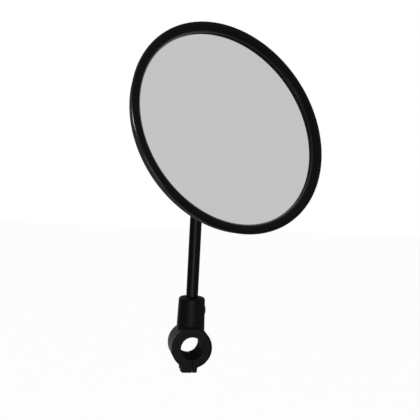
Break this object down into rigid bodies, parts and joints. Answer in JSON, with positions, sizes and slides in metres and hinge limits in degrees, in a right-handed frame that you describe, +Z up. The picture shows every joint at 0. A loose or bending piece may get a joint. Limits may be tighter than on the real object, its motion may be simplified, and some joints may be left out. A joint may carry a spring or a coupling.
{
  "type": "round bicycle mirror",
  "caption": "Round flat mirror in a black bezel on a ball joint, carried by a bent steel stem that turns in a split bar clamp.",
  "frame": {"origin": "centre of the clamp's bar bore", "axes": "+Y along the bar, +Z up the stem, +X to the right as the user faces the glass along +Y"},
  "size_m": [0.0989, 0.0619, 0.172],
  "materials": {
    "clamp_plastic": "fine moulded satin black",
    "shell_plastic": "satin black",
    "bezel_plastic": "semi-gloss black",
    "stem_paint": "gloss black coating on steel",
    "dark_steel": "black oxide",
    "ball_steel": "polished",
    "spring_steel": "bright spring steel",
    "brass": "turned brass",
    "nylon": "natural nylon",
    "bush_plastic": "black acetal",
    "foam": "closed-cell foam tape",
    "gasket_rubber": "black rubber",
    "mirror": "flat silvered glass"
  },
  "bodies": {
    "clamp": {"clamp_body": "clamp_plastic", "clamp_screw": "dark_steel", "clamp_nut": "dark_steel", "set_screw": "dark_steel", "set_screw_insert": "brass", "set_screw_tip": "nylon", "thrust_washer": "nylon", "lower_bush": "bush_plastic", "upper_bush": "bush_plastic"},
    "stem": {"stem_rod": "stem_paint", "ball": "ball_steel"},
    "seat_a": {"front_seat": "nylon"},
    "seat_b": {"rear_seat": "nylon"},
    "head": {"pressure_cup": "bush_plastic", "spring_washer": "spring_steel", "ball_retainer": "clamp_plastic", "retainer_screws": "dark_steel", "screw_inserts": "brass", "back_shell": "shell_plastic", "glass_tape": "foam", "mirror_glass": "mirror", "glass_gasket": "gasket_rubber", "bezel_ring": "bezel_plastic"}
  },
  "joints": [
    {"name": "stem_turn", "type": "hinge", "parent": "clamp", "child": "stem", "pos_m": [0, 0, 0], "axis": [0, 0, 1], "continuous": true},
    {"name": "head_tilt", "type": "hinge", "parent": "stem", "child": "seat_a", "pos_m": [0.00522, -0.01254, 0.10468], "axis": [0.9232, 0.3843, 0], "range_deg": [-16, 16]},
    {"name": "head_turn", "type": "hinge", "parent": "seat_a", "child": "seat_b", "pos_m": [0.00522, -0.01254, 0.10468], "axis": [-0.1346, 0.3233, 0.9367], "range_deg": [-16, 16]},
    {"name": "head_spin", "type": "hinge", "parent": "seat_b", "child": "head", "pos_m": [0.00522, -0.01254, 0.10468], "axis": [0.36, -0.8647, 0.3502], "continuous": true}
  ]
}
